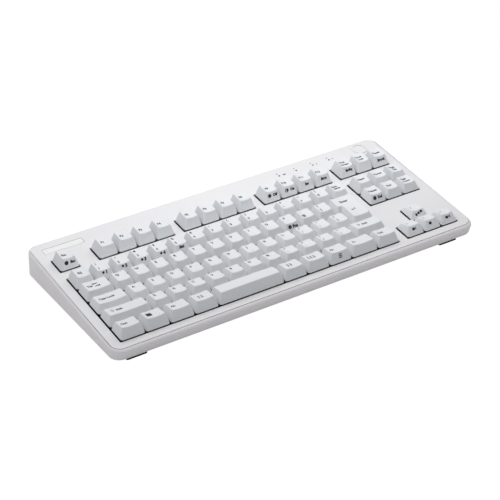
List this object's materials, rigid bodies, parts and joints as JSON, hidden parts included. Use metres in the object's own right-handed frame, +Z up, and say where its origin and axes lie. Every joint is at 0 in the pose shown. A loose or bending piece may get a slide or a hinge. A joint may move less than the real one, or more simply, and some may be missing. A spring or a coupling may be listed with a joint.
{
  "type": "mechanical keyboard",
  "caption": "Tenkeyless mechanical keyboard with an L-shaped enter key, a sloping two-part case, a power button, a battery bay and fold-out rear feet.",
  "frame": {"origin": "centre of the footprint on the desk, under the rubber feet", "axes": "+X to the right, +Y away from the typist, +Z up"},
  "size_m": [0.3772, 0.1636, 0.0383],
  "materials": {
    "case": "fine-textured off-white moulded plastic",
    "keycap": "matte light grey-white moulded plastic",
    "badge": "plain satin badge plate",
    "plate": "matt black powder coat",
    "steel": "plain",
    "dome_rubber": "matte",
    "board": "solder-masked circuit board",
    "lamp": "translucent smoky plastic",
    "battery": "gloss sleeve",
    "foot_rubber": "matte black"
  },
  "bodies": {
    "case": {"lower_case": "case", "top_cover": "case", "mounting_plate": "plate", "dome_sheet": "dome_rubber", "circuit_board": "board", "badge_plate": "badge", "indicator_light_pipe": "lamp", "usb_port": "steel", "rubber_foot_front_left": "foot_rubber", "rubber_foot_front_right": "foot_rubber", "rubber_foot_rear_left": "foot_rubber", "rubber_foot_rear_right": "foot_rubber", "battery_left": "battery", "battery_right": "battery"},
    "foot_left": {"foot_left": "case"},
    "foot_right": {"foot_right": "case"},
    "battery_cover": {"battery_cover": "case"},
    "power_button": {"power_button": "keycap"},
    "key_space": {"key_space": "keycap"},
    "key_enter": {"key_enter": "keycap"},
    "key_shift_left": {"key_shift_left": "keycap"},
    "key_esc": {"key_esc": "keycap"},
    "number_key_bank": {"number_key_bank": "keycap"},
    "upper_letter_key_bank": {"upper_letter_key_bank": "keycap"},
    "home_letter_key_bank": {"home_letter_key_bank": "keycap"},
    "lower_letter_key_bank": {"lower_letter_key_bank": "keycap"},
    "navigation_key_bank": {"navigation_key_bank": "keycap"},
    "key_f1": {"key_f1": "keycap"},
    "key_f2": {"key_f2": "keycap"},
    "key_f3": {"key_f3": "keycap"},
    "key_f4": {"key_f4": "keycap"},
    "key_f5": {"key_f5": "keycap"},
    "key_f6": {"key_f6": "keycap"},
    "key_f7": {"key_f7": "keycap"},
    "key_f8": {"key_f8": "keycap"},
    "key_f9": {"key_f9": "keycap"},
    "key_f10": {"key_f10": "keycap"},
    "key_f11": {"key_f11": "keycap"},
    "key_f12": {"key_f12": "keycap"},
    "key_print_screen": {"key_print_screen": "keycap"},
    "key_scroll_lock": {"key_scroll_lock": "keycap"},
    "key_pause": {"key_pause": "keycap"},
    "key_language": {"key_language": "keycap"},
    "key_backspace": {"key_backspace": "keycap"},
    "key_tab": {"key_tab": "keycap"},
    "key_caps_lock": {"key_caps_lock": "keycap"},
    "key_shift_right": {"key_shift_right": "keycap"},
    "key_arrow_up": {"key_arrow_up": "keycap"},
    "key_ctrl_left": {"key_ctrl_left": "keycap"},
    "key_system": {"key_system": "keycap"},
    "key_alt_left": {"key_alt_left": "keycap"},
    "key_nonconvert": {"key_nonconvert": "keycap"},
    "key_convert": {"key_convert": "keycap"},
    "key_kana": {"key_kana": "keycap"},
    "key_alt_right": {"key_alt_right": "keycap"},
    "key_fn": {"key_fn": "keycap"},
    "key_ctrl_right": {"key_ctrl_right": "keycap"},
    "key_arrow_left": {"key_arrow_left": "keycap"},
    "key_arrow_down": {"key_arrow_down": "keycap"},
    "key_arrow_right": {"key_arrow_right": "keycap"}
  },
  "joints": [
    {"name": "foot_left_hinge", "type": "hinge", "parent": "case", "child": "foot_left", "pos_m": [-0.1552, 0.06359, 0.0051], "axis": [1, 0, 0], "range_deg": [0, 88]},
    {"name": "foot_right_hinge", "type": "hinge", "parent": "case", "child": "foot_right", "pos_m": [0.1552, 0.06359, 0.0051], "axis": [1, 0, 0], "range_deg": [0, 88]},
    {"name": "battery_cover_tip", "type": "hinge", "parent": "case", "child": "battery_cover", "pos_m": [-0.0632, 0.07579, 0.0028], "axis": [1, 0, 0], "range_deg": [0, 85]},
    {"name": "power_button_press", "type": "slide", "parent": "case", "child": "power_button", "axis": [0, 0.1052, -0.9944], "range_m": [0, 0.001], "stiffness_N_per_m": 600, "springref_m": -0.001},
    {"name": "key_space_press", "type": "slide", "parent": "case", "child": "key_space", "axis": [0, 0.1052, -0.9944], "range_m": [0, 0.004], "stiffness_N_per_m": 60, "springref_m": -0.003},
    {"name": "key_enter_press", "type": "slide", "parent": "case", "child": "key_enter", "axis": [0, 0.1052, -0.9944], "range_m": [0, 0.004], "stiffness_N_per_m": 60, "springref_m": -0.003},
    {"name": "key_shift_left_press", "type": "slide", "parent": "case", "child": "key_shift_left", "axis": [0, 0.1052, -0.9944], "range_m": [0, 0.004], "stiffness_N_per_m": 60, "springref_m": -0.003},
    {"name": "key_esc_press", "type": "slide", "parent": "case", "child": "key_esc", "axis": [0, 0.1052, -0.9944], "range_m": [0, 0.004], "stiffness_N_per_m": 60, "springref_m": -0.003},
    {"name": "number_key_bank_press", "type": "slide", "parent": "case", "child": "number_key_bank", "axis": [0, 0.1052, -0.9944], "range_m": [0, 0.004], "stiffness_N_per_m": 780, "springref_m": -0.003},
    {"name": "upper_letter_key_bank_press", "type": "slide", "parent": "case", "child": "upper_letter_key_bank", "axis": [0, 0.1052, -0.9944], "range_m": [0, 0.004], "stiffness_N_per_m": 720, "springref_m": -0.003},
    {"name": "home_letter_key_bank_press", "type": "slide", "parent": "case", "child": "home_letter_key_bank", "axis": [0, 0.1052, -0.9944], "range_m": [0, 0.004], "stiffness_N_per_m": 720, "springref_m": -0.003},
    {"name": "lower_letter_key_bank_press", "type": "slide", "parent": "case", "child": "lower_letter_key_bank", "axis": [0, 0.1052, -0.9944], "range_m": [0, 0.004], "stiffness_N_per_m": 660, "springref_m": -0.003},
    {"name": "navigation_key_bank_press", "type": "slide", "parent": "case", "child": "navigation_key_bank", "axis": [0, 0.1052, -0.9944], "range_m": [0, 0.004], "stiffness_N_per_m": 360, "springref_m": -0.003},
    {"name": "key_f1_press", "type": "slide", "parent": "case", "child": "key_f1", "axis": [0, 0.1052, -0.9944], "range_m": [0, 0.004], "stiffness_N_per_m": 60, "springref_m": -0.003},
    {"name": "key_f2_press", "type": "slide", "parent": "case", "child": "key_f2", "axis": [0, 0.1052, -0.9944], "range_m": [0, 0.004], "stiffness_N_per_m": 60, "springref_m": -0.003},
    {"name": "key_f3_press", "type": "slide", "parent": "case", "child": "key_f3", "axis": [0, 0.1052, -0.9944], "range_m": [0, 0.004], "stiffness_N_per_m": 60, "springref_m": -0.003},
    {"name": "key_f4_press", "type": "slide", "parent": "case", "child": "key_f4", "axis": [0, 0.1052, -0.9944], "range_m": [0, 0.004], "stiffness_N_per_m": 60, "springref_m": -0.003},
    {"name": "key_f5_press", "type": "slide", "parent": "case", "child": "key_f5", "axis": [0, 0.1052, -0.9944], "range_m": [0, 0.004], "stiffness_N_per_m": 60, "springref_m": -0.003},
    {"name": "key_f6_press", "type": "slide", "parent": "case", "child": "key_f6", "axis": [0, 0.1052, -0.9944], "range_m": [0, 0.004], "stiffness_N_per_m": 60, "springref_m": -0.003},
    {"name": "key_f7_press", "type": "slide", "parent": "case", "child": "key_f7", "axis": [0, 0.1052, -0.9944], "range_m": [0, 0.004], "stiffness_N_per_m": 60, "springref_m": -0.003},
    {"name": "key_f8_press", "type": "slide", "parent": "case", "child": "key_f8", "axis": [0, 0.1052, -0.9944], "range_m": [0, 0.004], "stiffness_N_per_m": 60, "springref_m": -0.003},
    {"name": "key_f9_press", "type": "slide", "parent": "case", "child": "key_f9", "axis": [0, 0.1052, -0.9944], "range_m": [0, 0.004], "stiffness_N_per_m": 60, "springref_m": -0.003},
    {"name": "key_f10_press", "type": "slide", "parent": "case", "child": "key_f10", "axis": [0, 0.1052, -0.9944], "range_m": [0, 0.004], "stiffness_N_per_m": 60, "springref_m": -0.003},
    {"name": "key_f11_press", "type": "slide", "parent": "case", "child": "key_f11", "axis": [0, 0.1052, -0.9944], "range_m": [0, 0.004], "stiffness_N_per_m": 60, "springref_m": -0.003},
    {"name": "key_f12_press", "type": "slide", "parent": "case", "child": "key_f12", "axis": [0, 0.1052, -0.9944], "range_m": [0, 0.004], "stiffness_N_per_m": 60, "springref_m": -0.003},
    {"name": "key_print_screen_press", "type": "slide", "parent": "case", "child": "key_print_screen", "axis": [0, 0.1052, -0.9944], "range_m": [0, 0.004], "stiffness_N_per_m": 60, "springref_m": -0.003},
    {"name": "key_scroll_lock_press", "type": "slide", "parent": "case", "child": "key_scroll_lock", "axis": [0, 0.1052, -0.9944], "range_m": [0, 0.004], "stiffness_N_per_m": 60, "springref_m": -0.003},
    {"name": "key_pause_press", "type": "slide", "parent": "case", "child": "key_pause", "axis": [0, 0.1052, -0.9944], "range_m": [0, 0.004], "stiffness_N_per_m": 60, "springref_m": -0.003},
    {"name": "key_language_press", "type": "slide", "parent": "case", "child": "key_language", "axis": [0, 0.1052, -0.9944], "range_m": [0, 0.004], "stiffness_N_per_m": 60, "springref_m": -0.003},
    {"name": "key_backspace_press", "type": "slide", "parent": "case", "child": "key_backspace", "axis": [0, 0.1052, -0.9944], "range_m": [0, 0.004], "stiffness_N_per_m": 60, "springref_m": -0.003},
    {"name": "key_tab_press", "type": "slide", "parent": "case", "child": "key_tab", "axis": [0, 0.1052, -0.9944], "range_m": [0, 0.004], "stiffness_N_per_m": 60, "springref_m": -0.003},
    {"name": "key_caps_lock_press", "type": "slide", "parent": "case", "child": "key_caps_lock", "axis": [0, 0.1052, -0.9944], "range_m": [0, 0.004], "stiffness_N_per_m": 60, "springref_m": -0.003},
    {"name": "key_shift_right_press", "type": "slide", "parent": "case", "child": "key_shift_right", "axis": [0, 0.1052, -0.9944], "range_m": [0, 0.004], "stiffness_N_per_m": 60, "springref_m": -0.003},
    {"name": "key_arrow_up_press", "type": "slide", "parent": "case", "child": "key_arrow_up", "axis": [0, 0.1052, -0.9944], "range_m": [0, 0.004], "stiffness_N_per_m": 60, "springref_m": -0.003},
    {"name": "key_ctrl_left_press", "type": "slide", "parent": "case", "child": "key_ctrl_left", "axis": [0, 0.1052, -0.9944], "range_m": [0, 0.004], "stiffness_N_per_m": 60, "springref_m": -0.003},
    {"name": "key_system_press", "type": "slide", "parent": "case", "child": "key_system", "axis": [0, 0.1052, -0.9944], "range_m": [0, 0.004], "stiffness_N_per_m": 60, "springref_m": -0.003},
    {"name": "key_alt_left_press", "type": "slide", "parent": "case", "child": "key_alt_left", "axis": [0, 0.1052, -0.9944], "range_m": [0, 0.004], "stiffness_N_per_m": 60, "springref_m": -0.003},
    {"name": "key_nonconvert_press", "type": "slide", "parent": "case", "child": "key_nonconvert", "axis": [0, 0.1052, -0.9944], "range_m": [0, 0.004], "stiffness_N_per_m": 60, "springref_m": -0.003},
    {"name": "key_convert_press", "type": "slide", "parent": "case", "child": "key_convert", "axis": [0, 0.1052, -0.9944], "range_m": [0, 0.004], "stiffness_N_per_m": 60, "springref_m": -0.003},
    {"name": "key_kana_press", "type": "slide", "parent": "case", "child": "key_kana", "axis": [0, 0.1052, -0.9944], "range_m": [0, 0.004], "stiffness_N_per_m": 60, "springref_m": -0.003},
    {"name": "key_alt_right_press", "type": "slide", "parent": "case", "child": "key_alt_right", "axis": [0, 0.1052, -0.9944], "range_m": [0, 0.004], "stiffness_N_per_m": 60, "springref_m": -0.003},
    {"name": "key_fn_press", "type": "slide", "parent": "case", "child": "key_fn", "axis": [0, 0.1052, -0.9944], "range_m": [0, 0.004], "stiffness_N_per_m": 60, "springref_m": -0.003},
    {"name": "key_ctrl_right_press", "type": "slide", "parent": "case", "child": "key_ctrl_right", "axis": [0, 0.1052, -0.9944], "range_m": [0, 0.004], "stiffness_N_per_m": 60, "springref_m": -0.003},
    {"name": "key_arrow_left_press", "type": "slide", "parent": "case", "child": "key_arrow_left", "axis": [0, 0.1052, -0.9944], "range_m": [0, 0.004], "stiffness_N_per_m": 60, "springref_m": -0.003},
    {"name": "key_arrow_down_press", "type": "slide", "parent": "case", "child": "key_arrow_down", "axis": [0, 0.1052, -0.9944], "range_m": [0, 0.004], "stiffness_N_per_m": 60, "springref_m": -0.003},
    {"name": "key_arrow_right_press", "type": "slide", "parent": "case", "child": "key_arrow_right", "axis": [0, 0.1052, -0.9944], "range_m": [0, 0.004], "stiffness_N_per_m": 60, "springref_m": -0.003}
  ]
}
